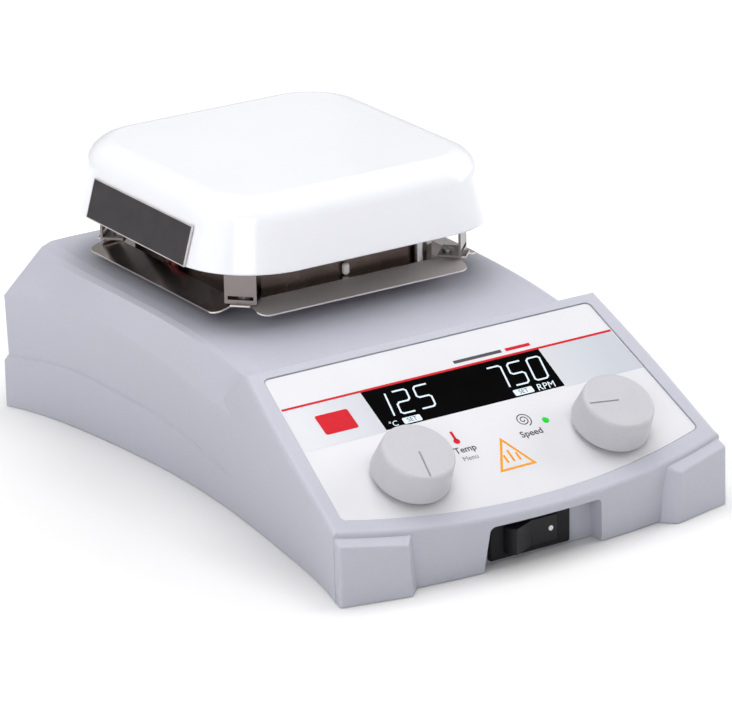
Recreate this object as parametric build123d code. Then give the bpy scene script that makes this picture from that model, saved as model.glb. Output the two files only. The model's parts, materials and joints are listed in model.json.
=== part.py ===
from build123d import *
import os
from math import cos, sin, radians, tan

# Hotplate magnetic stirrer. Millimetres, +Z up, front towards -Y, origin on the ground at the
# middle of the footprint.

# ---- overall ----
GROUND_GAP = 0.4          # housing edge above the ground
WALL = 2.8                # moulded housing wall
REAR_Y = 165.2            # rear wall
PLATE_Y = 65.5            # centre of the heated top, front to back

# ---- body stations, rear to front: y, foot half width, shoulder half width and height,
#      crease half width and height, deck height, side step height and depth ----
BODY_STATIONS = [
    (REAR_Y, 109.0, 109.0, 60.5, 88.0, 80.0, 85.5, 28.0, 0.9),
    (131.0, 97.9, 101.2, 65.5, 91.0, 82.2, 85.5, 31.0, 0.9),
    (92.0, 92.2, 96.8, 66.0, 92.0, 83.0, 85.5, 31.0, 0.9),
    (55.0, 89.1, 94.6, 64.8, 92.0, 83.3, 85.5, 29.4, 0.9),
    (18.0, 88.1, 94.2, 60.5, 92.0, 82.6, 84.9, 26.4, 0.8),
    (-18.0, 89.7, 95.0, 56.0, 92.2, 80.3, 82.8, 20.8, 0.6),
    (-47.0, 92.4, 96.2, 53.0, 92.6, 76.4, 79.4, 18.8, 0.3),
    (-72.0, 95.6, 98.0, 50.0, 93.0, 71.5, 74.5, 18.0, 0.1),
]
SHOULDER_SOFT = 9.0       # width over which the deck rounds into its crease

# ---- console ----
RIDGE_Y, RIDGE_Z = -62.4, 84.4
PANEL_SLOPE = 28.6        # degrees
FLANK_SLOPE = 36.0        # degrees, back of the raised lip
CONSOLE_TOP = 90.0        # height of the console blank before it is cut to the slope
BEZEL_SOFT, DECK_SOFT = 2.2, 1.8       # rounding of the panel's outer edge and of the rear deck edge
CONSOLE_FOOT = [(89.2, -15.0), (94.5, -62.4), (98.9, -94.5), (103.8, -124.5), (111.2, -152.5)]
CONSOLE_HEAD = [(94.6, -15.0), (103.4, -62.4), (110.0, -94.5), (114.6, -124.5), (113.2, -152.5)]
FRONT_BOW_FOOT, FRONT_BOW_HEAD = -163.6, -174.0
BLOCK_OUT, BLOCK_TOP = 112.4, 60.0     # corner blocks, outer half width and height before the slope cut
BLOCK_LEAD = 6.0                       # run of the block's slanted inner side
BLOCK_DROP = 2.2                       # block top below the panel plane
BLOCK_REAR = -149.0
BLOCK_SOFT, BLOCK_TOP_SOFT = 1.6, 1.4
# at the foot and at the top: outer half width at the rear, inner half width, front at the outer and inner side
BLOCK_FOOT_PLAN = (110.1, 71.0, -158.8, -166.4)
BLOCK_TOP_PLAN = (111.8, 75.5, -157.2, -164.8)

# ---- panel features: across, down the slope from the ridge ----
OVERLAY_TOP, OVERLAY_BOTTOM, OVERLAY_BOW = 5.6, 96.0, 110.5
OVERLAY_HALF_TOP, OVERLAY_HALF_BOTTOM = 94.9, 103.0
OVERLAY_T, OVERLAY_SINK = 0.6, 0.6    # film thickness, its face below the panel plane
FILM_BED = -OVERLAY_T - OVERLAY_SINK
RECESS_GAP = 0.5
DISPLAY_TOP, DISPLAY_BOTTOM, DISPLAY_HALF = 26.2, 51.6, 52.0
DISPLAY_T = 2.0
KNOB_X, KNOB_SHIFT, KNOB_DOWN = 58.0, 1.2, 81.5        # spread about a line right of the middle
KNOB_R, KNOB_TOP_R, KNOB_H = 19.9, 18.0, 15.8
KNOB_GAP = 1.7            # under the knob, more than the push travel
KNOB_TURNS = (169.6, 81.4)             # pointers as they stand, anticlockwise from up the slope
POINTER_W, POINTER_DEEP = 1.0, 0.4
LED_X, LED_DOWN, LED_R = 29.7, 68.9, 1.9
SHAFT_R = 3.0
SHAFT_FIT = 0.06          # radial running clearance
PUSH = 0.8
DISPLAY_GAP, DISPLAY_MID = 0.5, (DISPLAY_TOP + DISPLAY_BOTTOM) / 2
BUSH_R = 4.4
BOARD_LIFT, BOARD_THICK = -11.5, 1.6   # control board under the panel
BOARD_W, BOARD_H, BOARD_MID = 160.0, 76.0, 56.0
STANDOFF_X, STANDOFF_Y, STANDOFF_R = 74.0, 32.0, 2.8
CAN, CAN_H, CAN_WALL = 13.0, 6.5, 1.0
ROTOR_R, ROTOR_H = 4.9, 2.6

# ---- switch notch ----
NOTCH_HALF_TOP, NOTCH_HALF_FOOT, NOTCH_TOP = 32.0, 34.4, 23.6
NOTCH_BACK_Y, NOTCH_SOFT = -154.5, 3.0
FRAME_W, FRAME_H, FRAME_T = 46.6, 19.4, 2.4
FRAME_BODY_W, FRAME_BODY_H, FRAME_BODY_D = 36.2, 15.4, 24.0
SWITCH_X, SWITCH_Z = -3.5, 11.6
ROCKER_R, ROCKER_GAP, ROCKER_H = 15.6, 0.35, 13.0
ROCKER_ROOM = 13.6        # height of the frame's window
ROCKER_PIVOT = 3.5        # pivot behind the frame's face
ROCKER_TILT = 12.5        # each half of the face, degrees
ROCKER_PROUD = 0.6        # pressed half above the frame's face
PIN_R, PIN_FIT, PIN_OUT = 1.5, 0.06, 0.8

# ---- heated top ----
TOP_SIDE, TOP_CORNER, TOP_DRAFT = 178.0, 44.0, 16.0
RIM_Z, TOP_Z, TOP_SHOULDER = 114.2, 149.0, 15.0
TOP_WALL, TOP_ROOF = 4.2, 6.0
PLATE_LABEL_W, PLATE_LABEL_H, PLATE_LABEL_T = 94.5, 20.5, 0.9
TRAY_FLOOR_Z, TRAY_T = 94.0, 0.8
TRAY_HALF, TRAY_RIM, TRAY_RIM_Z = 64.0, 78.6, 90.2     # fold and rim of the sloping sides
TRAY_CUT, TRAY_FLARE = 2.0, -0.5       # corner cut of the floor, extra half length at the rim
TRAY_SOFT = 5.5           # rounded free corners of the sloping sides
TAB_W, TAB_OUT = 10.0, 95.5            # diagonal tabs at the corners
SHIELD_HALF, SHIELD_CUT, SHIELD_T = 58.0, 9.0, 0.8
BRACKET_AT, BRACKET_W, BRACKET_T = 93.4, 16.2, 1.2    # legs, along the diagonals
BRACKET_FOOT, FOOT_IN, HEAD_IN = 12.0, 8.0, 5.0       # foot length, screws in from the leg
SLOT_UP, SLOT_W, SLOT_H = 3.0, 13.0, 1.9
PLINTH_HALF, PLINTH_LOW = 52.0, 83.2   # raised edge under the tray
DIAGONALS = (45, 135, 225, 315)

CARRIER_HALF, CARRIER_Z, CARRIER_T = 73.0, 132.0, 1.5
HEATER_HALF, HEATER_T, PROBE_R = 71.0, 4.6, 2.6
POST_X, POST_Y, POST_R = 42.0, 61.3, 2.0
BEAD_X, BEAD_Z, BEAD_R, BEAD_TALL = -0.5, 98.2, 1.9, 3.2
LEAD_X, LEAD_Y, LEAD_R, LEAD_PITCH = -61.3, 7.0, 1.7, 6.0     # from the plate's centre
LEAD_HOLE_Z, LEAD_BEND, LEAD_END_Z = 105.5, 5.0, 74.0
GROMMET_R, GROMMET_WALL = 2.5, 0.7

# ---- stir drive ----
DRIVE_HOLE_R, DRIVE_SHAFT_R = 8.0, 3.0
MOTOR_R, MOTOR_LOW, MOTOR_TOP = 28.0, 38.0, 76.0
CARRIER_DISC_R, CARRIER_DISC_Z, CARRIER_DISC_T = 34.0, 117.0, 5.0
MAGNET_X, MAGNET_L, MAGNET_W, MAGNET_T = 20.0, 16.0, 30.0, 6.0
MOTOR_PLATE_Z, MOTOR_PLATE_T, MOTOR_PLATE_HALF = 76.0, 2.0, 34.0
MOTOR_SCREW = 29.0

# ---- rear ----
INLET_X, INLET_Z = 52.0, 31.0
INLET_W, INLET_H, INLET_FLANGE_T = 28.0, 33.0, 1.6
CAVITY_W, CAVITY_H, CAVITY_DEPTH, CAVITY_UP = 24.2, 16.4, 15.0, 6.0
DRAWER_W, DRAWER_H, DRAWER_L, DRAWER_GAP, DRAWER_DOWN = 20.0, 7.0, 18.0, 0.35, -10.5
INLET_SCREW = 18.5        # screws, out from the inlet's middle
VENT_COUNT, VENT_PITCH, VENT_W, VENT_L = 9, 7.0, 3.0, 34.0
VENT_X, VENT_Z = -72.0, 34.0
ROD_X, ROD_Y, SOCKET_R, ROD_R, SOCKET_L = 73.0, 154.0, 7.6, 5.1, 30.0
DECK_Z = 85.5

# ---- base ----
BASE_LOW, BASE_T = 2.2, 1.5
BASE_TOP = BASE_LOW + BASE_T
BASE_GAP = 0.5
SCREW_R, HEAD_R = 1.5, 3.0
PILLARS = [(84.0, 147.0), (79.0, 60.0), (81.0, -30.0), (92.0, -118.0)]
PILLAR_R = 4.6
FEET = [(72.0, 128.0), (84.0, -138.0)]
FOOT_R, FOOT_STEM_R = 9.0, 2.5

# ---- power board ----
POWER_X, POWER_Y, POWER_Z, POWER_W, POWER_L = -28.0, -18.0, 12.0, 96.0, 70.0
PCB_T = 1.6


def save(shape, name):
    """Write one node, one solid or a compound of its separate solids."""
    solids = [s for part in (shape if isinstance(shape, list) else [shape]) for s in part.solids()]
    export_step(solids[0] if len(solids) == 1 else Compound(children=solids), f"parts/{name}.step")


def box(x0, x1, y0, y1, z0, z1):
    """Box between opposite corners."""
    return Pos((x0 + x1) / 2, (y0 + y1) / 2, (z0 + z1) / 2) * Box(x1 - x0, y1 - y0, z1 - z0)


def rod(x, y, z0, z1, r):
    """Upright cylinder."""
    return Pos(x, y, (z0 + z1) / 2) * Cylinder(r, z1 - z0)


def prism(points, z0, z1):
    """Upright prism on a plan outline."""
    return extrude(Plane.XY.offset(z0) * make_face(Polyline(*points, close=True)), z1 - z0)


def mirrored(points):
    """An outline given on its right half, front to rear or rear to front, completed on the left."""
    return points + [(-x, y) for x, y in reversed(points)]


# ---------------------------------------------------------------- panel frame
def panel(down, x=0.0, lift=0.0):
    """Location on the sloping panel: x across, down the slope, lift above it; local z is its normal."""
    a = radians(PANEL_SLOPE)
    origin = (x, RIDGE_Y - down * cos(a) - lift * sin(a), RIDGE_Z - down * sin(a) + lift * cos(a))
    return Plane(origin=origin, x_dir=(1, 0, 0), z_dir=(0, -sin(a), cos(a))).location


def panel_z(y):
    return RIDGE_Z + (y - RIDGE_Y) * tan(radians(PANEL_SLOPE))


# ---------------------------------------------------------------- housing
def body_section(station, inset):
    y, foot, sh, sh_z, cr, cr_z, deck, step_z, step = station
    soft = SHOULDER_SOFT
    lean = (sh - foot) / sh_z
    low = 0.0 if inset == 0 else -5.0
    right = [
        (foot - inset, low),
        (foot + lean * step_z - inset, step_z),
        (foot + lean * step_z - step - inset, step_z + step),
        (sh - inset, sh_z - inset * 0.4),
        (cr - inset * 0.9, cr_z - inset * 0.6),
        (cr - soft * 0.35 - inset, cr_z + (deck - cr_z) * 0.55 - inset),
        (cr - soft - inset, deck - 0.3 - inset),
        (cr - soft * 2.2 - inset, deck - inset),
    ]
    pts = right + [(-x, z) for x, z in reversed(right)]
    return Polyline(*[(x, y, z) for x, z in pts], close=True)


def body_blank(inset=0.0):
    """Lofted rear body from the rear wall into the console."""
    stations = list(BODY_STATIONS)
    first = stations[0]
    stations[0] = (first[0] - inset,) + first[1:]
    return Solid.make_loft([body_section(s, inset).wire() for s in stations])


def console_wire(points, bow, z, inset):
    """Plan outline of the console at a height: splined sides, bowed front, straight rear."""
    side = [(x - inset, y) for x, y in points]
    xf, yf = side[-1][0], side[-1][1] + inset * 0.8
    side[-1] = (xf, yf)
    xr, yr = side[0]
    right = Spline(*[(x, y, z) for x, y in side])
    left = Spline(*[(-x, y, z) for x, y in side])
    front = ThreePointArc((xf, yf, z), (0, bow + inset, z), (-xf, yf, z))
    rear = Line((xr, yr, z), (-xr, yr, z))
    return Wire([*right.edges(), *front.edges(), *left.edges(), *rear.edges()])


def console_blank(inset=0.0):
    """Console: leaning sides and bowed front, cut to the panel slope and the back of the lip."""
    low = 0.0 if inset == 0 else -5.0
    blank = Solid.make_loft([
        console_wire(CONSOLE_FOOT, FRONT_BOW_FOOT, low, inset),
        console_wire(CONSOLE_HEAD, FRONT_BOW_HEAD, CONSOLE_TOP, inset),
    ], ruled=True)
    console = blank & lip_envelope(inset)
    if inset:
        return console
    return fillet([e for e in console.edges() if panel_offset(e) < 0.05], BEZEL_SOFT)


def panel_offset(edge):
    """How far an edge strays from the panel plane."""
    a = radians(PANEL_SLOPE)
    points = [edge.position_at(t) for t in (0.0, 0.25, 0.5, 0.75, 1.0)]
    return max(abs((p.Z - RIDGE_Z) * cos(a) - (p.Y - RIDGE_Y) * sin(a)) for p in points)


def lip_envelope(inset):
    """Everything under the panel slope and under the back slope of the lip."""
    a, b = radians(PANEL_SLOPE), radians(FLANK_SLOPE)
    drop = inset * 1.3
    ridge = RIDGE_Z - drop
    front, rear, wide = RIDGE_Y - 140.0, RIDGE_Y + 80.0, 160.0
    pts = [
        (front, -20.0), (front, ridge - (RIDGE_Y - front) * tan(a)), (RIDGE_Y, ridge),
        (rear, ridge - (rear - RIDGE_Y) * tan(b)), (rear, -20.0),
    ]
    outline = Polyline(*[(-wide, y, z) for y, z in pts], close=True)
    return extrude(make_face(outline), 2 * wide, dir=(1, 0, 0))


def block_wire(plan, z, inset):
    """Plan outline of a corner block at a height."""
    rear_out, inner, front_out, front_in = plan
    inn = inner + inset
    points = [
        (rear_out - inset, BLOCK_REAR), (BLOCK_OUT - inset, front_out + inset),
        (inn + BLOCK_LEAD, front_in + inset * 1.1), (inn, front_in + BLOCK_LEAD + inset), (inn, BLOCK_REAR),
    ]
    return Polyline(*[(x, y, z) for x, y in points], close=True).wire()


def corner_blocks(inset=0.0):
    """Two proud blocks at the front corners, tops a little under the panel plane."""
    a = radians(PANEL_SLOPE)
    low = 0.0 if inset == 0 else -5.0
    wires = [block_wire(BLOCK_FOOT_PLAN, low, inset), block_wire(BLOCK_TOP_PLAN, BLOCK_TOP, inset)]
    block = Solid.make_loft(wires, ruled=True)
    if not inset:
        uprights = [e for e in block.edges() if abs(e.tangent_at(0.5).Z) > 0.9]
        block = fillet([e for e in uprights if e.center().Y < BLOCK_REAR - 1], BLOCK_SOFT)
    cap_z = panel_z(-160.0) - BLOCK_DROP - inset * 1.3
    under = Pos(0, -160.0, cap_z) * Rot(PANEL_SLOPE, 0, 0) * Pos(0, 0, -60) * Box(300, 160, 120)
    block = block & under
    if not inset:
        rim = block.faces().sort_by(Axis.Z)[-1].edges()
        block = fillet([e for e in rim if e.center().Y < BLOCK_REAR - 0.5], BLOCK_TOP_SOFT)
    return block + mirror(block, Plane.YZ)


def housing_outer():
    solid = body_blank() + console_blank() + corner_blocks()
    solid = solid & box(-130, 130, -200, REAR_Y + 1, GROUND_GAP, 120)
    rear = [e for e in solid.edges() if (e @ 0).Y > REAR_Y - 0.01 and (e @ 1).Y > REAR_Y - 0.01]
    return fillet([e for e in rear if e.center().Z > BODY_STATIONS[0][-2]], DECK_SOFT)


def housing_inner():
    inner = body_blank(WALL) + console_blank(WALL) + corner_blocks(WALL)
    return inner & box(-130, 130, -200, REAR_Y + 1, -4, 120)


def notch(grow=0.0):
    """Switch recess, open at the bottom."""
    pts = [(-NOTCH_HALF_FOOT - grow, -1.0), (-NOTCH_HALF_TOP - grow, NOTCH_TOP + grow),
           (NOTCH_HALF_TOP + grow, NOTCH_TOP + grow), (NOTCH_HALF_FOOT + grow, -1.0)]
    face = make_face(Polyline(*[(x, NOTCH_BACK_Y + grow, z) for x, z in pts], close=True))
    face = fillet(face.vertices().sort_by(Axis.Z)[-2:], NOTCH_SOFT + grow)
    return extrude(face, 40 + grow, dir=(0, -1, 0))


def overlay_outline(grow=0.0):
    """Overlay outline in panel coordinates, rounded at the corners, bowed at the bottom."""
    top, bottom, bow = -OVERLAY_TOP + grow, -OVERLAY_BOTTOM - grow, -OVERLAY_BOW - grow
    ht, hb = OVERLAY_HALF_TOP + grow, OVERLAY_HALF_BOTTOM + grow
    edges = [Line((-ht, top), (ht, top)), Line((ht, top), (hb, bottom)),
             ThreePointArc((hb, bottom), (0, bow), (-hb, bottom)), Line((-hb, bottom), (-ht, top))]
    return make_face(Wire([e.edges()[0] for e in edges]))


def overlay_solid(grow, t, sink):
    face = overlay_outline(grow)
    face = fillet(face.vertices(), 3.0 + grow)
    solid = extrude(face, t)
    return panel(0, lift=sink) * solid


def knob_spots():
    return [(KNOB_SHIFT - KNOB_X, "temp"), (KNOB_SHIFT + KNOB_X, "speed")]


def pillars(solid):
    """Screw pillars from the base plate up to the shell."""
    out = []
    for x, y in PILLARS:
        for sx in (-1, 1):
            out.append(rod(sx * x, y, BASE_TOP, 95, PILLAR_R))
    return Part() + out & solid


def plinth():
    """Raised square edge that carries the tray above the deck."""
    edge = extrude(rounded_square(PLINTH_HALF, 6.0, PLINTH_LOW), TRAY_FLOOR_Z - PLINTH_LOW)
    edge -= extrude(rounded_square(PLINTH_HALF - WALL, 6.0 - WALL, PLINTH_LOW), TRAY_FLOOR_Z - PLINTH_LOW)
    return edge


def screw_sites(spots):
    """Sites given on the right half, repeated on the left."""
    return [(sx * x, y) for x, y in spots for sx in (-1, 1)]


def upper_housing(outer, inner):
    shell = outer - inner
    shell += notch(WALL) & outer
    shell += pillars(outer)
    shell += plinth()
    shell -= [rod(x, y, BASE_TOP - 1, BASE_TOP + 12, SCREW_R) for x, y in screw_sites(PILLARS)]
    shell -= notch()
    shell -= overlay_solid(RECESS_GAP, 5.0, FILM_BED)
    shell -= display_block(DISPLAY_GAP, 12.0, -6.0)
    for x, _ in knob_spots():
        shell -= panel(KNOB_DOWN, x) * Cylinder(BUSH_R + 0.6, 20)
    shell -= panel(LED_DOWN, LED_X) * Cylinder(LED_R, 20)
    shell -= Pos(SWITCH_X, NOTCH_BACK_Y, SWITCH_Z) * Box(FRAME_BODY_W, 20, FRAME_BODY_H)
    shell -= Pos(INLET_X, REAR_Y, INLET_Z) * Box(INLET_W, 20, INLET_H)
    shell -= [inlet_screw_hole(sx) for sx in (-1, 1)]
    shell -= rod(0, PLATE_Y, 70, 100, DRIVE_HOLE_R)
    shell -= [rod(x, y, 70, 100, GROMMET_R) for x, y in lead_sites()]
    shell -= [rod(x, y, 70, 100, SCREW_R) for x, y in motor_sites()]
    shell -= rod(ROD_X, ROD_Y, 60, 100, SOCKET_R)
    for i in range(VENT_COUNT):
        shell -= Pos(VENT_X + i * VENT_PITCH, REAR_Y, VENT_Z) * Box(VENT_W, 20, VENT_L)
    return shell


def base_plate():
    """Sheet closing the housing from below, with slots for cooling air."""
    inset = WALL + BASE_GAP
    plan = body_blank(inset) + console_blank(inset) + corner_blocks(inset)
    plate = plan & box(-130, 130, -200, 200, BASE_LOW, BASE_TOP)
    plate -= notch(WALL + BASE_GAP)
    plate -= [rod(x, y, 0, 10, SCREW_R) for x, y in screw_sites(PILLARS)]
    plate -= [rod(x, y, 0, 10, FOOT_STEM_R) for x, y in screw_sites(FEET)]
    for x in (-50.0, 50.0):
        for i in range(VENT_COUNT):
            plate -= Pos(x, 20 + i * VENT_PITCH, BASE_LOW) * Box(VENT_L, VENT_W, 10)
    return plate


def rubber_feet():
    """Round feet with a stem snapped through the base plate."""
    feet = []
    for x, y in screw_sites(FEET):
        foot = chamfer(rod(x, y, 0, BASE_LOW, FOOT_R).edges().group_by(Axis.Z)[0], 0.8)
        stem = rod(x, y, BASE_LOW, BASE_TOP, FOOT_STEM_R)
        feet.append(foot + stem + rod(x, y, BASE_TOP, BASE_TOP + 1.5, FOOT_STEM_R + 1.1))
    return feet


def pan_screw(x, y, seat, up, length, r=SCREW_R):
    """Pan-head screw: head on the seat height, shank going the other way."""
    way = 1 if up else -1
    head = rod(x, y, min(seat, seat + way * 1.1), max(seat, seat + way * 1.1), HEAD_R * r / SCREW_R)
    shank = rod(x, y, min(seat, seat - way * length), max(seat, seat - way * length), r)
    cross = Pos(x, y, seat + way * 1.1) * (Box(2.6, 0.6, 0.9) + Box(0.6, 2.6, 0.9))
    return head + shank - cross


def housing_screws():
    return [pan_screw(x, y, BASE_LOW, False, 11.0) for x, y in screw_sites(PILLARS)]


def rod_socket():
    """Metal socket for an upright support rod, blind."""
    body = rod(ROD_X, ROD_Y, DECK_Z - SOCKET_L, DECK_Z + 0.6, SOCKET_R)
    return body - rod(ROD_X, ROD_Y, DECK_Z - SOCKET_L + 4, DECK_Z + 3, ROD_R)


# ---------------------------------------------------------------- panel nodes
def display_block(grow, t, low):
    """Block under the display's outline, t thick from the given lift."""
    w, h = 2 * DISPLAY_HALF + grow, DISPLAY_BOTTOM - DISPLAY_TOP + grow
    return panel(DISPLAY_MID, lift=low + t / 2) * Box(w, h, t)


def control_overlay():
    sheet = overlay_solid(0.0, OVERLAY_T, FILM_BED)
    sheet -= display_block(0.2, 6, -3)
    sheet -= [panel(KNOB_DOWN, x) * Cylinder(BUSH_R + 1.0, 10) for x, _ in knob_spots()]
    return sheet - panel(LED_DOWN, LED_X) * Cylinder(LED_R, 10)


def led_lens():
    lens = panel(LED_DOWN, LED_X, -2.2 - OVERLAY_SINK) * Cylinder(LED_R, 4.8)
    return fillet(lens.edges().filter_by(GeomType.CIRCLE).sort_by(Axis.Z)[-1], 1.2)


def control_board():
    board = panel(BOARD_MID, lift=BOARD_LIFT - BOARD_THICK / 2) * Box(BOARD_W, BOARD_H, BOARD_THICK)
    return board - [standoff_loc(sx, sy) * Cylinder(SCREW_R, 40) for sx in (-1, 1) for sy in (-1, 1)]


def standoff_loc(sx, sy, lift=0.0):
    return panel(BOARD_MID, lift=lift) * Location((sx * STANDOFF_X, sy * STANDOFF_Y, 0))


def board_standoffs():
    """Brass spacers between the panel's underside and the board."""
    low, high = BOARD_LIFT, -3.2
    spacer = Cylinder(STANDOFF_R, high - low) - Cylinder(SCREW_R, high - low)
    return [standoff_loc(sx, sy, (low + high) / 2) * spacer for sx in (-1, 1) for sy in (-1, 1)]


def board_screws():
    low = BOARD_LIFT - BOARD_THICK
    out = []
    for sx in (-1, 1):
        for sy in (-1, 1):
            head = standoff_loc(sx, sy, low - 0.6) * Cylinder(HEAD_R - 0.4, 1.2)
            out.append(head + standoff_loc(sx, sy, low + 3.4) * Cylinder(SCREW_R, 6.8))
    return out


def encoder(x):
    """Rotary encoder can and threaded bush, hollow for its rotor and shaft."""
    can = panel(KNOB_DOWN, x, BOARD_LIFT + CAN_H / 2) * Box(CAN, CAN, CAN_H)
    bush_low = BOARD_LIFT + CAN_H
    can += panel(KNOB_DOWN, x, (bush_low + 0.9) / 2) * Cylinder(BUSH_R, 0.9 - bush_low)
    bore_low = BOARD_LIFT + 0.5
    can -= panel(KNOB_DOWN, x, (bore_low + 4) / 2) * Cylinder(SHAFT_R + SHAFT_FIT, 4 - bore_low)
    return can - panel(KNOB_DOWN, x, rotor_mid()) * Cylinder(ROTOR_R + 0.4, ROTOR_H + 0.8)


def rotor_mid():
    return BOARD_LIFT + CAN_H - CAN_WALL - ROTOR_H / 2 - 0.9


def encoder_rotor(x):
    """Ring turned by the shaft, which slides through it when pushed."""
    ring = Cylinder(ROTOR_R, ROTOR_H) - Cylinder(SHAFT_R + SHAFT_FIT, ROTOR_H)
    return panel(KNOB_DOWN, x, rotor_mid()) * ring


def encoder_shaft(x):
    low, high = BOARD_LIFT + 0.5 + PUSH + 0.4, KNOB_H - 3.5
    return panel(KNOB_DOWN, x, (low + high) / 2) * Cylinder(SHAFT_R, high - low)


def knob(x, turn):
    """Tapered knob with a soft top edge, a pointer groove and a hollow skirt."""
    cone = Solid.make_cone(KNOB_R, KNOB_TOP_R, KNOB_H, Plane.XY.offset(KNOB_GAP))
    cone = fillet(cone.edges().filter_by(GeomType.CIRCLE).sort_by(Axis.Z)[-1], 2.2)
    cone = fillet(cone.edges().filter_by(GeomType.CIRCLE).sort_by(Axis.Z)[0], 0.8)
    skirt = Pos(0, 0, KNOB_GAP + 5) * (Cylinder(KNOB_R - 3.2, 10) - Cylinder(6.5, 10))
    bore_top = KNOB_H - 3.5
    bore = Pos(0, 0, bore_top / 2) * Cylinder(SHAFT_R, bore_top)
    line = Box(POINTER_W, KNOB_TOP_R - 2.0, 2 * POINTER_DEEP)
    line = Rot(0, 0, turn) * Pos(0, KNOB_TOP_R / 2 - 0.8, KNOB_GAP + KNOB_H) * line
    return panel(KNOB_DOWN, x) * (cone - skirt - bore - line)


# ---------------------------------------------------------------- rocker switch
def pivot():
    return (SWITCH_X, NOTCH_BACK_Y - FRAME_T + ROCKER_PIVOT)


def rocker_frame():
    px, py = pivot()
    flange = Pos(SWITCH_X, NOTCH_BACK_Y - FRAME_T / 2, SWITCH_Z) * Box(FRAME_W, FRAME_T, FRAME_H)
    flange = fillet(flange.edges().filter_by(Axis.Y), 1.2)
    flange = chamfer(flange.faces().sort_by(Axis.Y)[0].edges(), 0.7)
    body = Box(FRAME_BODY_W, FRAME_BODY_D, FRAME_BODY_H)
    body = Pos(SWITCH_X, NOTCH_BACK_Y + FRAME_BODY_D / 2, SWITCH_Z) * body
    room = rod(px, py, SWITCH_Z - ROCKER_ROOM / 2, SWITCH_Z + ROCKER_ROOM / 2, ROCKER_R + ROCKER_GAP)
    pins = rod(px, py, SWITCH_Z - ROCKER_H / 2 - 1.0, SWITCH_Z + ROCKER_H / 2 + 1.0, PIN_R + PIN_FIT)
    frame = flange + body - room - pins
    return frame - rocker_terminals()


def rocker_terminals():
    """Four blades at the back of the switch."""
    back = NOTCH_BACK_Y + FRAME_BODY_D
    return [Pos(SWITCH_X + x, back + 2.5, SWITCH_Z + z) * Box(4.8, 11, 0.8)
            for x in (-9.0, 9.0) for z in (-3.6, 3.6)]


def rocker():
    """Rocker with a bent face; at rest its right half lies flat, pressed in."""
    px, py = pivot()
    z0, z1 = SWITCH_Z - ROCKER_H / 2, SWITCH_Z + ROCKER_H / 2
    face = py - ROCKER_PIVOT - ROCKER_PROUD
    lift = tan(radians(2 * ROCKER_TILT)) * ROCKER_R
    wedge = prism([(px, face), (px + ROCKER_R + 1, face), (px + ROCKER_R + 1, py + 9),
                   (px - ROCKER_R - 1, py + 9), (px - ROCKER_R, face - lift)], z0, z1)
    body = rod(px, py, z0, z1, ROCKER_R) & wedge
    return body + rod(px, py, z0 - PIN_OUT, z1 + PIN_OUT, PIN_R)


# ---------------------------------------------------------------- heated top
def rounded_square(half, r, z):
    return Plane.XY.offset(z) * Pos(0, PLATE_Y) * RectangleRounded(2 * half, 2 * half, r)


def top_plate():
    """Glazed cap: drafted skirt, soft shoulder, flat roof."""
    half = TOP_SIDE / 2
    cap = extrude(rounded_square(half, TOP_CORNER, RIM_Z), TOP_Z - RIM_Z, taper=TOP_DRAFT)
    cap = fillet(cap.faces().sort_by(Axis.Z)[-1].edges(), TOP_SHOULDER)
    cap = fillet(cap.faces().sort_by(Axis.Z)[0].edges(), 1.0)
    roof = TOP_Z - TOP_ROOF
    mouth = rounded_square(half - TOP_WALL, TOP_CORNER - TOP_WALL, RIM_Z - 1)
    hollow = extrude(mouth, roof - RIM_Z + 1, taper=TOP_DRAFT)
    hollow = fillet(hollow.faces().sort_by(Axis.Z)[-1].edges(), 3.0)
    return cap - hollow


def side_plate():
    """Brushed plate lying on the drafted left side of the cap."""
    a = radians(TOP_DRAFT)
    rise = 0.6 + PLATE_LABEL_H / 2 * cos(a)
    origin = (-TOP_SIDE / 2 + rise * tan(a), PLATE_Y - 5.0, RIM_Z + rise)
    lie = Plane(origin=origin, x_dir=(0, -1, 0), z_dir=(-cos(a), 0, sin(a)))
    sheet = Box(PLATE_LABEL_W, PLATE_LABEL_H, PLATE_LABEL_T)
    return lie.location * Pos(0, 0, PLATE_LABEL_T / 2) * sheet


def heater_element():
    """Cast heater plate under the roof, drilled from below for the probe."""
    z = TOP_Z - TOP_ROOF - HEATER_T
    plate = extrude(rounded_square(HEATER_HALF, 20.0, z), HEATER_T)
    return plate - rod(0, PLATE_Y, z, z + HEATER_T - 1.5, PROBE_R)


def insulation_board():
    z = CARRIER_Z + CARRIER_T
    slab = extrude(rounded_square(HEATER_HALF, 20.0, z), TOP_Z - TOP_ROOF - HEATER_T - z)
    return slab - rod(0, PLATE_Y, z, 150, PROBE_R)


def temperature_probe():
    """Sheathed sensor pushed up into the heater plate."""
    return rod(0, PLATE_Y, CARRIER_Z + CARRIER_T, TOP_Z - TOP_ROOF - 1.5, PROBE_R)


def heater_carrier():
    plate = extrude(rounded_square(CARRIER_HALF, 24.0, CARRIER_Z), CARRIER_T)
    return plate - [rod(x, y, 120, 140, SCREW_R) for x, y in bracket_top_sites()]


def cut_square(h, c):
    """Square outline of half width h with its corners cut off by c."""
    k = h - c
    return [(h, -k), (h, k), (k, h), (-k, h), (-h, k), (-h, -k), (-k, -h), (k, -h)]


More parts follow.
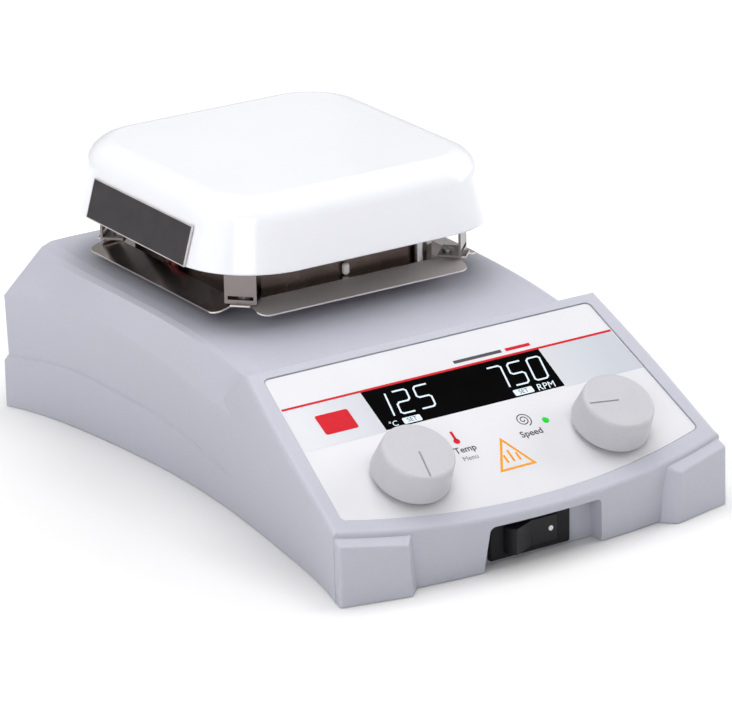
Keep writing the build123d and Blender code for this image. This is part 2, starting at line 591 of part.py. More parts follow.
def heat_shield():
    """Open box of bright sheet round the magnets, corners cut for the brackets."""
    floor_z = TRAY_FLOOR_Z + TRAY_T

    def cup(inset, z0, z1):
        outline = cut_square(SHIELD_HALF - inset, SHIELD_CUT - inset * 0.6)
        return Pos(0, PLATE_Y, 0) * prism(outline, z0, z1)
    shell = cup(0, floor_z, CARRIER_Z) - cup(SHIELD_T, floor_z + SHIELD_T, CARRIER_Z + 1)
    shell -= rod(0, PLATE_Y, 80, 100, DRIVE_HOLE_R)
    shell -= [bead_axis(sy) * Cylinder(BEAD_R * 0.5, 20) for sy in (-1, 1)]
    for _, y in lead_sites():
        shell -= Pos(-SHIELD_HALF, y, LEAD_HOLE_Z) * Rot(0, 90, 0) * Cylinder(LEAD_R + 1.5, 4)
    return shell


def bead_axis(sy):
    return Pos(BEAD_X * -sy, PLATE_Y + sy * SHIELD_HALF, BEAD_Z) * Rot(90, 0, 0)


def ceramic_beads():
    """Long lead-through beads in the shield's front and back walls."""
    out = []
    for sy in (-1, 1):
        straight = BEAD_TALL - BEAD_R
        centre = Pos(BEAD_X * -sy, PLATE_Y + sy * (SHIELD_HALF + BEAD_R * 0.8), BEAD_Z)
        bead = Cylinder(BEAD_R, 2 * straight) + [Pos(0, 0, s * straight) * Sphere(BEAD_R) for s in (-1, 1)]
        bead = centre * bead - box(-200, 200, PLATE_Y - SHIELD_HALF, PLATE_Y + SHIELD_HALF, 0, 200)
        out.append(bead + bead_axis(sy) * Cylinder(BEAD_R * 0.5, 3.0))
    return out


def lead_sites():
    """Where the two leads go down through the tray and the deck."""
    return [(LEAD_X, PLATE_Y + LEAD_Y + side * LEAD_PITCH / 2) for side in (-1, 1)]


def sleeved_leads():
    """Leads out of the shield's wall, bent down through the tray and the deck."""
    out = []
    for x, y in lead_sites():
        knee = LEAD_HOLE_Z - LEAD_BEND
        path = Line((x, y, LEAD_END_Z), (x, y, knee))
        path += TangentArc((x, y, knee), (x + LEAD_BEND, y, LEAD_HOLE_Z), tangent=(0, 0, 1))
        out.append(sweep(Pos(x, y, LEAD_END_Z) * Circle(LEAD_R), path=path))
    return out


def lead_grommets():
    """Rubber sleeves where the leads pass through the tray and the deck."""
    low, high = DECK_Z - WALL, TRAY_FLOOR_Z + TRAY_T
    return [rod(x, y, low, high, GROMMET_R) - rod(x, y, low, high, GROMMET_R - GROMMET_WALL)
            for x, y in lead_sites()]


def flap():
    """One sloping side of the tray, in the +X direction, before it is placed."""
    length, drop, run = TRAY_HALF - TRAY_CUT, TRAY_FLOOR_Z - TRAY_RIM_Z, TRAY_RIM - TRAY_HALF
    slope = (run ** 2 + drop ** 2) ** 0.5
    rim = length + TRAY_FLARE
    sheet = make_face(Polyline((0, -length), (slope, -rim), (slope, rim), (0, length), close=True))
    sheet = fillet(sheet.vertices().sort_by(Axis.X)[-2:], TRAY_SOFT)
    lie = Plane(origin=(TRAY_HALF, 0, TRAY_FLOOR_Z), x_dir=(run, 0, -drop), z_dir=(drop, 0, run))
    return extrude(lie.location * sheet, TRAY_T, dir=(0, 0, 1))


def drip_tray():
    """Bright tray: flat floor, four sides sloping down and out, a tab under each bracket."""
    tray = prism(cut_square(TRAY_HALF, TRAY_CUT), TRAY_FLOOR_Z, TRAY_FLOOR_Z + TRAY_T)
    for turn in (0, 90, 180, 270):
        tray += Rot(0, 0, turn) * flap()
    for turn in DIAGONALS:
        tab = box(80, TAB_OUT, -TAB_W / 2, TAB_W / 2, TRAY_FLOOR_Z, TRAY_FLOOR_Z + TRAY_T)
        tray += Rot(0, 0, turn) * tab
    tray = Pos(0, PLATE_Y, 0) * tray
    tray -= rod(0, PLATE_Y, 80, 100, DRIVE_HOLE_R)
    tray -= [rod(x, y, 80, 100, GROMMET_R) for x, y in lead_sites()]
    tray -= [rod(x, y, 80, 100, SCREW_R) for x, y in bracket_foot_sites()]
    return tray


def diagonal(turn, out, side=0.0):
    """Point on a diagonal of the top, by distance out and to the side."""
    a = radians(turn)
    return (out * cos(a) - side * sin(a), PLATE_Y + out * sin(a) + side * cos(a))


def bracket_foot_sites():
    return [diagonal(t, BRACKET_AT - FOOT_IN) for t in DIAGONALS]


def bracket_top_sites():
    return [diagonal(t, BRACKET_AT - HEAD_IN) for t in DIAGONALS]


def corner_brackets():
    """Bent legs carrying the heated top off the tray, slotted near the foot."""
    at, low, high, t, w = BRACKET_AT, TRAY_FLOOR_Z + TRAY_T, CARRIER_Z, BRACKET_T, BRACKET_W / 2
    leg = box(at - t, at, -w, w, low, high)
    leg += box(at - BRACKET_FOOT, at, -w, w, low, low + t)
    leg += box(at - BRACKET_FOOT, at, -w, w, high - t, high)
    leg -= Pos(at, 0, low + SLOT_UP) * Box(3 * t, SLOT_W, SLOT_H)
    leg -= rod(at - FOOT_IN, 0, low - 1, low + 5, SCREW_R) + rod(at - HEAD_IN, 0, 120, 140, SCREW_R)
    return [Pos(0, PLATE_Y, 0) * Rot(0, 0, turn) * leg for turn in DIAGONALS]


def bracket_screws():
    seat = TRAY_FLOOR_Z + TRAY_T + BRACKET_T
    under = CARRIER_Z - BRACKET_T
    feet = [pan_screw(x, y, seat, True, BRACKET_T + 3 * TRAY_T) for x, y in bracket_foot_sites()]
    return feet + [pan_screw(x, y, under, False, BRACKET_T + CARRIER_T) for x, y in bracket_top_sites()]


def carrier_posts():
    low = TRAY_FLOOR_Z + TRAY_T
    return [rod(s * POST_X, PLATE_Y - s * POST_Y, low, CARRIER_Z, POST_R) for s in (-1, 1)]


# ---------------------------------------------------------------- stir drive
def motor_sites():
    return [(sx * MOTOR_SCREW, PLATE_Y + sy * MOTOR_SCREW) for sx in (-1, 1) for sy in (-1, 1)]


def motor_bracket():
    """Plate hung under the deck on four spacers formed in it."""
    top = DECK_Z - WALL - 0.4
    h = MOTOR_PLATE_HALF
    plate = box(-h, h, PLATE_Y - h, PLATE_Y + h, MOTOR_PLATE_Z, MOTOR_PLATE_Z + MOTOR_PLATE_T)
    plate += [rod(x, y, MOTOR_PLATE_Z, top, 4.0) for x, y in motor_sites()]
    plate -= [rod(x, y, 70, 90, SCREW_R) for x, y in motor_sites()]
    return plate - rod(0, PLATE_Y, 70, 90, 10.0)


def motor_screws():
    return [pan_screw(x, y, MOTOR_PLATE_Z, False, 9.2) for x, y in motor_sites()]


def stir_motor():
    can = chamfer(rod(0, PLATE_Y, MOTOR_LOW, MOTOR_TOP, MOTOR_R).edges().group_by(Axis.Z)[0], 2.0)
    can += rod(0, PLATE_Y, MOTOR_TOP, MOTOR_TOP + 4.0, 10.0)
    return can - rod(0, PLATE_Y, MOTOR_LOW + 6, 90, DRIVE_SHAFT_R + SHAFT_FIT)


def motor_shaft():
    return rod(0, PLATE_Y, MOTOR_LOW + 6.5, CARRIER_DISC_Z + CARRIER_DISC_T, DRIVE_SHAFT_R)


def magnet_carrier():
    low, mid, high = CARRIER_DISC_Z - 10, CARRIER_DISC_Z, CARRIER_DISC_Z + CARRIER_DISC_T
    disc = rod(0, PLATE_Y, mid, high, CARRIER_DISC_R) + rod(0, PLATE_Y, low, mid, 8.0)
    return disc - rod(0, PLATE_Y, low, high, DRIVE_SHAFT_R)


def drive_magnets():
    z = CARRIER_DISC_Z + CARRIER_DISC_T + MAGNET_T / 2
    return [Pos(s * MAGNET_X, PLATE_Y, z) * Box(MAGNET_L, MAGNET_W, MAGNET_T) for s in (-1, 1)]


# ---------------------------------------------------------------- power side
def power_sites():
    reach_x, reach_y = POWER_W / 2 - 5, POWER_L / 2 - 5
    return [(POWER_X + sx * reach_x, POWER_Y + sy * reach_y) for sx in (-1, 1) for sy in (-1, 1)]


def power_board():
    board = Pos(POWER_X, POWER_Y, POWER_Z + PCB_T / 2) * Box(POWER_W, POWER_L, PCB_T)
    return board - [rod(x, y, 5, 20, SCREW_R) for x, y in power_sites()]


def power_standoffs():
    return [rod(x, y, BASE_TOP, POWER_Z, 3.0) for x, y in power_sites()]


def power_screws():
    return [pan_screw(x, y, POWER_Z + PCB_T, True, PCB_T) for x, y in power_sites()]


def transformer():
    """Laminated core with a wound bobbin."""
    top = POWER_Z + PCB_T
    core = box(POWER_X - 36, POWER_X - 2, POWER_Y - 14, POWER_Y + 14, top, top + 26)
    bobbin = box(POWER_X - 30, POWER_X - 8, POWER_Y - 21, POWER_Y + 21, top + 4, top + 22)
    return core + bobbin


def capacitors():
    top = POWER_Z + PCB_T
    can = fillet(rod(POWER_X + 8, POWER_Y + 20, top, top + 22, 6.0).edges().group_by(Axis.Z)[-1], 0.8)
    return [Pos(14.0 * i, 0, 0) * can for i in range(3)]


def heat_sink():
    """Finned block beside the power switch device."""
    top, x, y = POWER_Z + PCB_T, POWER_X + 22, POWER_Y - 14
    sink = box(x - 16, x + 16, y - 2, y + 1.5, top, top + 24)
    for i in range(7):
        sink += box(x - 15.6 + i * 5, x - 14.4 + i * 5, y + 1.5, y + 11, top, top + 24)
    return sink


# ---------------------------------------------------------------- mains inlet
def inlet_screw_hole(sx, r=SCREW_R):
    return Pos(INLET_X + sx * INLET_SCREW, REAR_Y, INLET_Z) * Rot(90, 0, 0) * Cylinder(r, 14)


def drawer_block(grow, y0, y1):
    z = INLET_Z + DRAWER_DOWN
    w, h = DRAWER_W / 2 + grow, DRAWER_H / 2 + grow
    return box(INLET_X - w, INLET_X + w, y0, y1, z - h, z + h)


def power_inlet():
    """Flanged appliance inlet with a fuse drawer bay below the plug recess."""
    face = REAR_Y + INLET_FLANGE_T
    flange = box(INLET_X - INLET_W / 2 - 9, INLET_X + INLET_W / 2 + 9, REAR_Y, face,
                 INLET_Z - INLET_H / 2 - 2.5, INLET_Z + INLET_H / 2 + 2.5)
    flange = fillet(flange.edges().filter_by(Axis.Y), 3.0)
    body = box(INLET_X - INLET_W / 2, INLET_X + INLET_W / 2, REAR_Y - 24, REAR_Y,
               INLET_Z - INLET_H / 2, INLET_Z + INLET_H / 2)
    cz, hw, hh, cut = INLET_Z + CAVITY_UP, CAVITY_W / 2, CAVITY_H / 2, 4.5
    outline = [(INLET_X - hw, cz - hh), (INLET_X + hw, cz - hh), (INLET_X + hw, cz + hh - cut),
               (INLET_X + hw - cut, cz + hh), (INLET_X - hw + cut, cz + hh), (INLET_X - hw, cz + hh - cut)]
    wire = Polyline(*[(x, face + 1, z) for x, z in outline], close=True)
    cavity = extrude(make_face(wire), CAVITY_DEPTH + 1, dir=(0, -1, 0))
    inlet = flange + body - cavity - drawer_block(DRAWER_GAP, face - DRAWER_L - 1, face + 1)
    inlet -= [inlet_screw_hole(sx) for sx in (-1, 1)]
    return inlet - inlet_pins()


def inlet_pins():
    """Earth blade above, line and neutral below, running out of the back as tags."""
    y0, y1 = REAR_Y - 30, REAR_Y + INLET_FLANGE_T - 3
    cz = INLET_Z + CAVITY_UP
    return [box(INLET_X + x - 1, INLET_X + x + 1, y0, y1, cz + z - 2, cz + z + 2)
            for x, z in ((0.0, 3.6), (-7.0, -2.4), (7.0, -2.4))]


def fuse_drawer():
    """Small pull-out drawer with a fuse bay and a finger lip."""
    face = REAR_Y + INLET_FLANGE_T
    z = INLET_Z + DRAWER_DOWN
    drawer = drawer_block(0.0, face - DRAWER_L, face)
    drawer -= box(INLET_X - 8.5, INLET_X + 8.5, face - DRAWER_L + 3, face - 5, z - 1.5, z + 5)
    return drawer - box(INLET_X - 6, INLET_X + 6, face - 2.2, face + 1, z + 1.4, z + 2.6)


def inlet_screws():
    out = []
    for sx in (-1, 1):
        x = INLET_X + sx * INLET_SCREW
        shank = Pos(x, REAR_Y - 3, INLET_Z) * Rot(90, 0, 0) * Cylinder(SCREW_R, 8 + 2 * INLET_FLANGE_T)
        out.append(shank & box(-200, 200, REAR_Y - 7, REAR_Y + INLET_FLANGE_T, 0, 100))
    return out


# ---------------------------------------------------------------- build
def main():
    os.makedirs("parts", exist_ok=True)
    outer, inner = housing_outer(), housing_inner()
    save(upper_housing(outer, inner), "upper_housing")
    nodes = {
        "base_plate": base_plate, "rubber_feet": rubber_feet, "housing_screws": housing_screws,
        "rod_socket": rod_socket, "control_overlay": control_overlay, "led_lens": led_lens,
        "display_window": lambda: display_block(0.0, DISPLAY_T, -DISPLAY_T - OVERLAY_SINK),
        "display_module": lambda: display_block(4.0, 6.0, -9.6),
        "control_board": control_board, "board_standoffs": board_standoffs, "board_screws": board_screws,
        "rocker_frame": rocker_frame, "rocker_terminals": rocker_terminals, "rocker": rocker,
        "top_plate": top_plate, "side_plate": side_plate, "heater_element": heater_element,
        "insulation_board": insulation_board, "temperature_probe": temperature_probe,
        "heater_carrier": heater_carrier, "heat_shield": heat_shield, "ceramic_beads": ceramic_beads,
        "sleeved_leads": sleeved_leads, "lead_grommets": lead_grommets, "drip_tray": drip_tray,
        "corner_brackets": corner_brackets, "bracket_screws": bracket_screws, "carrier_posts": carrier_posts,
        "motor_bracket": motor_bracket, "motor_screws": motor_screws, "stir_motor": stir_motor,
        "motor_shaft": motor_shaft, "magnet_carrier": magnet_carrier, "drive_magnets": drive_magnets,
        "power_board": power_board, "power_standoffs": power_standoffs, "power_screws": power_screws,
        "transformer": transformer, "capacitors": capacitors, "heat_sink": heat_sink,
        "power_inlet": power_inlet, "inlet_pins": inlet_pins, "fuse_drawer": fuse_drawer,
        "inlet_screws": inlet_screws,
    }
    for name, make in nodes.items():
        save(make(), name)
    for (x, side), turn in zip(knob_spots(), KNOB_TURNS):
        save(encoder(x), f"{side}_encoder")
        save(encoder_rotor(x), f"{side}_encoder_rotor")
        save(encoder_shaft(x), f"{side}_shaft")
        save(knob(x, turn), f"{side}_knob")


main()
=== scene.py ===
import json
import math
import bmesh
import bpy
from mathutils import Matrix, Vector


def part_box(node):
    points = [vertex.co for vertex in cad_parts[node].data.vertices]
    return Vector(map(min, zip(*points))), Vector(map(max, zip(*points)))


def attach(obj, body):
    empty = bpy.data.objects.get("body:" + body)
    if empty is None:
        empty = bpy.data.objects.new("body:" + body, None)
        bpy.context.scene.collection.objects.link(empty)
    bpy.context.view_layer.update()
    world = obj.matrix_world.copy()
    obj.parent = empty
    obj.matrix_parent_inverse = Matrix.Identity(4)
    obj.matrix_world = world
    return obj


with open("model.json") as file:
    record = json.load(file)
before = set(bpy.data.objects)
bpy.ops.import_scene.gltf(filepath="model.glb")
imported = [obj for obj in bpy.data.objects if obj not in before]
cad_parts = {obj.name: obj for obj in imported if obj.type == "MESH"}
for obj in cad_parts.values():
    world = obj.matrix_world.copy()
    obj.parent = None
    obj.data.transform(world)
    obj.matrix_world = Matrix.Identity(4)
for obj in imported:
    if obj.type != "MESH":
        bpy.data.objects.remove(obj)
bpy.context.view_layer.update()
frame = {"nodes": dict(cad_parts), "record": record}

MM = 0.001
NODES = frame["nodes"]

# ---------------------------------------------------------------- the panel's own axes
# Both knob hinges stand on the panel plane; their axis is its normal.
joints = {j["name"]: j for j in frame["record"]["behaviour"]["joints"]}
temp_hub = Vector(joints["temp_turn"]["pos_m"])
speed_hub = Vector(joints["speed_turn"]["pos_m"])
PANEL_N = Vector(joints["temp_turn"]["axis"]).normalized()
ACROSS = Vector((1, 0, 0))
UPHILL = PANEL_N.cross(ACROSS).normalized()
HUB_MID = (temp_hub + speed_hub) / 2
HUB_MID.x = 0.0                    # the hubs lie a little right of the middle
HUB_DOWN = 81.5 * MM               # the hubs' distance down the slope from the ridge
FILM = 0.06                        # lift of a printed layer above the film, mm
FILM_SINK = 0.6                    # the film lies this far below the panel plane, mm


def on_panel(x, down, lift=0.0):
    """Millimetres across, down the slope from the ridge and above the film, to metres."""
    along = UPHILL * (HUB_DOWN - down * MM)
    return HUB_MID + ACROSS * x * MM + along + PANEL_N * (lift - FILM_SINK) * MM


# ---------------------------------------------------------------- materials
NOISE_LOW, NOISE_HIGH = 0.3, 0.7    # most of a noise texture lies between these


def shader(name):
    mat = bpy.data.materials.new(name)
    mat.use_nodes = True
    return mat, mat.node_tree, mat.node_tree.nodes["Principled BSDF"]


def place(tree, stretch=(1, 1, 1)):
    """Object coordinates in metres, stretched."""
    source = tree.nodes.new("ShaderNodeTexCoord")
    mapping = tree.nodes.new("ShaderNodeMapping")
    mapping.inputs["Scale"].default_value = stretch
    tree.links.new(source.outputs["Object"], mapping.inputs["Vector"])
    return mapping.outputs["Vector"]


def noise(tree, vector, scale, detail=3.0, rough=0.55):
    node = tree.nodes.new("ShaderNodeTexNoise")
    node.inputs["Scale"].default_value = scale
    node.inputs["Detail"].default_value = detail
    node.inputs["Roughness"].default_value = rough
    tree.links.new(vector, node.inputs["Vector"])
    return node.outputs["Fac"]


def ramp(tree, fac, stops):
    node = tree.nodes.new("ShaderNodeValToRGB")
    elements = node.color_ramp.elements
    while len(elements) < len(stops):
        elements.new(0.5)
    for element, (at, colour) in zip(elements, stops):
        element.position = at
        element.color = (*colour, 1.0)
    tree.links.new(fac, node.inputs["Fac"])
    return node.outputs["Color"]


def map_range(tree, value, low, high, start=0.0, end=1.0):
    """Carry start to low and end to high, and clamp beyond them."""
    node = tree.nodes.new("ShaderNodeMapRange")
    for socket, number in (("From Min", start), ("From Max", end), ("To Min", low), ("To Max", high)):
        node.inputs[socket].default_value = number
    tree.links.new(value, node.inputs["Value"])
    return node.outputs["Result"]


def spread(tree, fac, low, high):
    """A noise stretched to run from low to high."""
    return map_range(tree, fac, low, high, NOISE_LOW, NOISE_HIGH)


def add_some(tree, value, noise_out, share):
    """A value plus a share of a noise."""
    node = tree.nodes.new("ShaderNodeMath")
    node.operation = "MULTIPLY_ADD"
    tree.links.new(noise_out, node.inputs[0])
    node.inputs[1].default_value = share
    tree.links.new(value, node.inputs[2])
    return node.outputs[0]


def split(tree, vector, axis):
    node = tree.nodes.new("ShaderNodeSeparateXYZ")
    tree.links.new(vector, node.inputs["Vector"])
    return node.outputs[axis]


def bump(tree, height, depth, strength):
    node = tree.nodes.new("ShaderNodeBump")
    node.inputs["Distance"].default_value = depth
    node.inputs["Strength"].default_value = strength
    tree.links.new(height, node.inputs["Height"])
    return node.outputs["Normal"]


def tint(colour, k):
    return tuple(min(1.0, c * k) for c in colour)


def surface(name, colour, rough, metal=0.0, vary=0.03, patch=18.0, grain=1600.0, depth=0.00006,
            strength=0.5, stretch=(1, 1, 1), rough_vary=0.06, dust=None, **fixed):
    """Mottled colour, uneven roughness and a fine grain; the base of every material here.

    dust is (scale, colour, most) of a second layer of specks.
    """
    mat, tree, bsdf = shader(name)
    at = place(tree)
    patches = noise(tree, at, patch, 4.0)
    base = ramp(tree, patches, [(NOISE_LOW, tint(colour, 1 - vary)), (NOISE_HIGH, tint(colour, 1 + vary))])
    if dust:
        dust_scale, dust_colour, dust_most = dust
        specks = noise(tree, at, dust_scale, 2.0)
        mix = tree.nodes.new("ShaderNodeMix")
        mix.data_type = "RGBA"
        tree.links.new(spread(tree, specks, 0.0, dust_most), mix.inputs["Factor"])
        tree.links.new(base, mix.inputs["A"])
        mix.inputs["B"].default_value = (*dust_colour, 1.0)
        base = mix.outputs["Result"]
    tree.links.new(base, bsdf.inputs["Base Color"])
    fine = noise(tree, place(tree, stretch), grain, 2.0)
    tree.links.new(spread(tree, patches, rough - rough_vary, rough + rough_vary), bsdf.inputs["Roughness"])
    tree.links.new(bump(tree, fine, depth, strength), bsdf.inputs["Normal"])
    bsdf.inputs["Metallic"].default_value = metal
    for socket, value in fixed.items():
        bsdf.inputs[socket.replace("_", " ")].default_value = value
    return mat


def lit(name, colour, power, body=0.25, **fixed):
    """A lit mark over a darker body, slightly uneven."""
    mat = surface(name, tint(colour, body), 0.5, vary=0.05, patch=300.0, **fixed)
    bsdf = mat.node_tree.nodes["Principled BSDF"]
    bsdf.inputs["Emission Color"].default_value = (*colour, 1.0)
    bsdf.inputs["Emission Strength"].default_value = power
    return mat


# the tray's two colours: painted shade on the side faces, painted light on the front and back faces
TRAY_POLISHED_SHADE, TRAY_SATIN_LIGHT = (0.42, 0.37, 0.35), (0.84, 0.79, 0.77)
POLISHED_ROUGH, SATIN_ROUGH = 0.14, 0.62
FACING_LOW, FACING_HIGH = 0.10, 0.20    # how far a face leans to the front or back, from polished with painted shade to rougher with painted light
STREAKS, STREAK_SHARE = (1, 30, 30), 0.12


def tray_steel(name):
    """Bright sheet whose faces towards the front and back are rougher and carry painted light, and the others
    polished and carry painted shade.
    """
    mat = surface(name, TRAY_SATIN_LIGHT, SATIN_ROUGH, metal=1.0, grain=40.0, depth=0.00002, stretch=(1, 22, 22))
    tree, bsdf = mat.node_tree, mat.node_tree.nodes["Principled BSDF"]
    source = tree.nodes.new("ShaderNodeTexCoord")
    lean = tree.nodes.new("ShaderNodeMath")
    lean.operation = "ABSOLUTE"
    tree.links.new(split(tree, source.outputs["Normal"], "Y"), lean.inputs[0])
    facing = map_range(tree, lean.outputs[0], 0.0, 1.0, FACING_LOW, FACING_HIGH)
    satin_and_painted_light = add_some(tree, facing, noise(tree, place(tree, STREAKS), 30.0), STREAK_SHARE)
    # painted light and shade: faces towards the front and back lighter, the others darker
    tree.links.new(ramp(tree, satin_and_painted_light, [(0.0, TRAY_POLISHED_SHADE), (1.0, TRAY_SATIN_LIGHT)]), bsdf.inputs["Base Color"])
    tree.links.new(map_range(tree, satin_and_painted_light, POLISHED_ROUGH, SATIN_ROUGH), bsdf.inputs["Roughness"])
    return mat


HOUSING = surface("housing_plastic", (0.47, 0.475, 0.545), 0.46, vary=0.02, patch=9.0, grain=1500.0,
                  depth=0.00008, strength=0.55, dust=(700.0, (0.60, 0.61, 0.68), 0.10))
FILM_WHITE = surface("overlay_film", (0.705, 0.705, 0.74), 0.34, vary=0.012, patch=30.0, grain=2600.0,
                     depth=0.00003)
GLAZE = surface("white_glaze", (0.85, 0.855, 0.895), 0.16, vary=0.012, patch=14.0, grain=260.0, depth=0.00012,
                strength=0.14, rough_vary=0.03, Coat_Weight=0.4, Coat_Roughness=0.06)
KNOB = surface("knob_plastic", (0.495, 0.49, 0.525), 0.50, vary=0.02, patch=60.0, grain=1900.0, depth=0.00007,
               strength=0.5, dust=(900.0, (0.68, 0.67, 0.70), 0.12))
DARK_METAL = surface("dark_brushed_plate", (0.052, 0.047, 0.051), 0.38, metal=0.7, vary=0.20, patch=60.0,
                     grain=70.0, depth=0.00003, stretch=(1, 1, 60), rough_vary=0.08, Specular_IOR_Level=0.3)
PLATE_EDGE = surface("plate_edge", (0.62, 0.59, 0.58), 0.36, metal=0.8, vary=0.12, patch=60.0, grain=400.0)
BRIGHT = tray_steel("bright_tray_steel")
LEG_STEEL = surface("bracket_steel", (0.215, 0.192, 0.186), 0.34, metal=1.0, vary=0.12, patch=60.0,
                    grain=300.0, depth=0.00003, rough_vary=0.08)
# dark brown, patchy steel
SHIELD = surface("dark_brown_shield", (0.13, 0.10, 0.085), 0.24, metal=1.0, vary=0.35, patch=34.0,
                 grain=60.0, depth=0.00004, stretch=(14, 14, 1), rough_vary=0.08)
STEEL = surface("satin_steel", (0.56, 0.56, 0.57), 0.34, metal=1.0, vary=0.08, grain=500.0, depth=0.00002)
ZINC = surface("zinc_plate", (0.60, 0.60, 0.58), 0.40, metal=1.0, vary=0.16, patch=120.0, grain=700.0,
               depth=0.00003)
CAST = surface("cast_alloy", (0.55, 0.55, 0.56), 0.52, metal=0.9, vary=0.10, patch=80.0, grain=420.0,
               depth=0.00014)
BRASS = surface("brass", (0.72, 0.54, 0.26), 0.30, metal=1.0, vary=0.10, grain=600.0, depth=0.00002)
BLACK = surface("black_plastic", (0.009, 0.009, 0.011), 0.42, vary=0.15, patch=90.0, grain=1800.0,
                depth=0.00006, Specular_IOR_Level=0.2)
ROCKER = surface("rocker_plastic", (0.010, 0.0095, 0.012), 0.34, vary=0.12, patch=120.0, grain=1500.0,
                 depth=0.00003, Specular_IOR_Level=0.28)
RUBBER = surface("rubber", (0.025, 0.025, 0.026), 0.75, vary=0.20, patch=140.0, grain=900.0, depth=0.00012)
SLEEVE = surface("woven_red_sleeve", (0.16, 0.018, 0.016), 0.70, vary=0.30, patch=700.0, grain=1300.0,
                 depth=0.0002)
FIBRE = surface("fibre_board", (0.74, 0.70, 0.62), 0.85, vary=0.10, patch=50.0, grain=380.0, depth=0.0004)
CERAMIC = surface("ceramic_bead", (0.86, 0.86, 0.84), 0.22, vary=0.04, patch=200.0, grain=500.0,
                  depth=0.00004)
BOARD = surface("solder_mask", (0.02, 0.13, 0.06), 0.30, vary=0.25, patch=300.0, grain=600.0, depth=0.00005)
CORE = surface("varnished_core", (0.13, 0.08, 0.05), 0.42, vary=0.25, patch=90.0, grain=90.0, depth=0.0002,
               stretch=(12, 1, 1))
MOTOR = surface("motor_paint", (0.06, 0.06, 0.065), 0.40, metal=0.3, vary=0.15, patch=90.0, grain=800.0,
                depth=0.00008)
SHRINK = surface("capacitor_sleeve", (0.03, 0.04, 0.13), 0.28, vary=0.15, patch=120.0, grain=600.0,
                 depth=0.00003)
SCREEN = surface("display_black", (0.0012, 0.0011, 0.0012), 0.14, vary=0.3, patch=60.0, grain=900.0,
                 depth=0.00001, rough_vary=0.02, Specular_IOR_Level=0.05)
PRINT_GLOSS = 0.12
LENS = lit("green_lens", (0.005, 0.72, 0.03), 0.72, body=0.3, Specular_IOR_Level=PRINT_GLOSS)

FINISH = {
    HOUSING: ["upper_housing"],
    FILM_WHITE: ["control_overlay"],
    GLAZE: ["top_plate"],
    KNOB: ["temp_knob", "speed_knob"],
    DARK_METAL: ["side_plate"],
    BRIGHT: ["drip_tray"],
    LEG_STEEL: ["corner_brackets"],
    SHIELD: ["heat_shield"],
    STEEL: ["rod_socket", "temperature_probe", "heater_carrier", "carrier_posts", "motor_shaft",
            "temp_encoder", "speed_encoder", "temp_shaft", "speed_shaft", "drive_magnets"],
    ZINC: ["base_plate", "motor_bracket", "housing_screws", "board_screws", "bracket_screws", "motor_screws",
           "power_screws", "inlet_screws"],
    CAST: ["heater_element", "magnet_carrier", "heat_sink"],
    BRASS: ["board_standoffs", "rocker_terminals", "inlet_pins"],
    BLACK: ["rocker_frame", "power_inlet", "fuse_drawer", "display_module", "power_standoffs",
            "temp_encoder_rotor", "speed_encoder_rotor"],
    ROCKER: ["rocker"],
    RUBBER: ["rubber_feet", "lead_grommets"],
    SLEEVE: ["sleeved_leads"],
    FIBRE: ["insulation_board"],
    CERAMIC: ["ceramic_beads"],
    BOARD: ["control_board", "power_board"],
    CORE: ["transformer"],
    MOTOR: ["stir_motor"],
    SHRINK: ["capacitors"],
    SCREEN: ["display_window"],
    LENS: ["led_lens"],
}
for material, names in FINISH.items():
    for name in names:
        for part_slot in NODES[name].material_slots:
            part_slot.link = "OBJECT"
            part_slot.material = material


# ---------------------------------------------------------------- thin pieces on the panel
def piece(name, mesh, material, body):
    obj = bpy.data.objects.new(name, mesh)
    bpy.context.scene.collection.objects.link(obj)
    mesh.materials.append(material)
    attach(obj, body)
    return obj


def slabs(name, outlines, to_world, low, high):
    """Mesh of thin slabs with the given outlines, each a list of (u, v), from low to high."""
    bm = bmesh.new()
    for outline in outlines:
        under = [bm.verts.new(to_world(u, v, low)) for u, v in outline]
        over = [bm.verts.new(to_world(u, v, high)) for u, v in outline]
        bm.faces.new(over)
        bm.faces.new(list(reversed(under)))
        count = len(outline)
        for i in range(count):
            k = (i + 1) % count
            bm.faces.new((under[i], under[k], over[k], over[i]))
    bmesh.ops.recalc_face_normals(bm, faces=bm.faces)
    mesh = bpy.data.meshes.new(name)
    bm.to_mesh(mesh)
    bm.free()
    return mesh


def side_of(a, b):
    """Unit vector to the left of the run from a to b."""
    length = math.hypot(b[0] - a[0], b[1] - a[1])
    return -(b[1] - a[1]) / length, (b[0] - a[0]) / length


def stroke(points, width, closed=False):
    """A line of even width with mitred joints, as one outline per run."""
    runs = list(zip(points, points[1:] + points[:1])) if closed else list(zip(points, points[1:]))
    sides = [side_of(a, b) for a, b in runs]
    edges = []
    for i, (x, y) in enumerate(points):
        before = sides[i - 1] if i or closed else sides[0]
        after = sides[i] if i < len(sides) else sides[-1]
        mx, my = before[0] + after[0], before[1] + after[1]
        k = width / (mx * mx + my * my)
        edges.append(((x + mx * k, y + my * k), (x - mx * k, y - my * k)))
    ends = list(zip(edges, edges[1:] + edges[:1])) if closed else list(zip(edges, edges[1:]))
    return [[left_a, right_a, right_b, left_b] for (left_a, right_a), (left_b, right_b) in ends]


def disc(x, y, r, n=24):
    return [(x + r * math.cos(2 * math.pi * i / n), y + r * math.sin(2 * math.pi * i / n)) for i in range(n)]


def rounded_box(x0, x1, y0, y1, r, n=5):
    centres = ((x1 - r, y1 - r), (x0 + r, y1 - r), (x0 + r, y0 + r), (x1 - r, y0 + r))
    out = []
    for (cx, cy), start in zip(centres, (0, 90, 180, 270)):
        for i in range(n + 1):
            a = math.radians(start + 90 * i / n)
            out.append((cx + r * math.cos(a), cy + r * math.sin(a)))
    return out


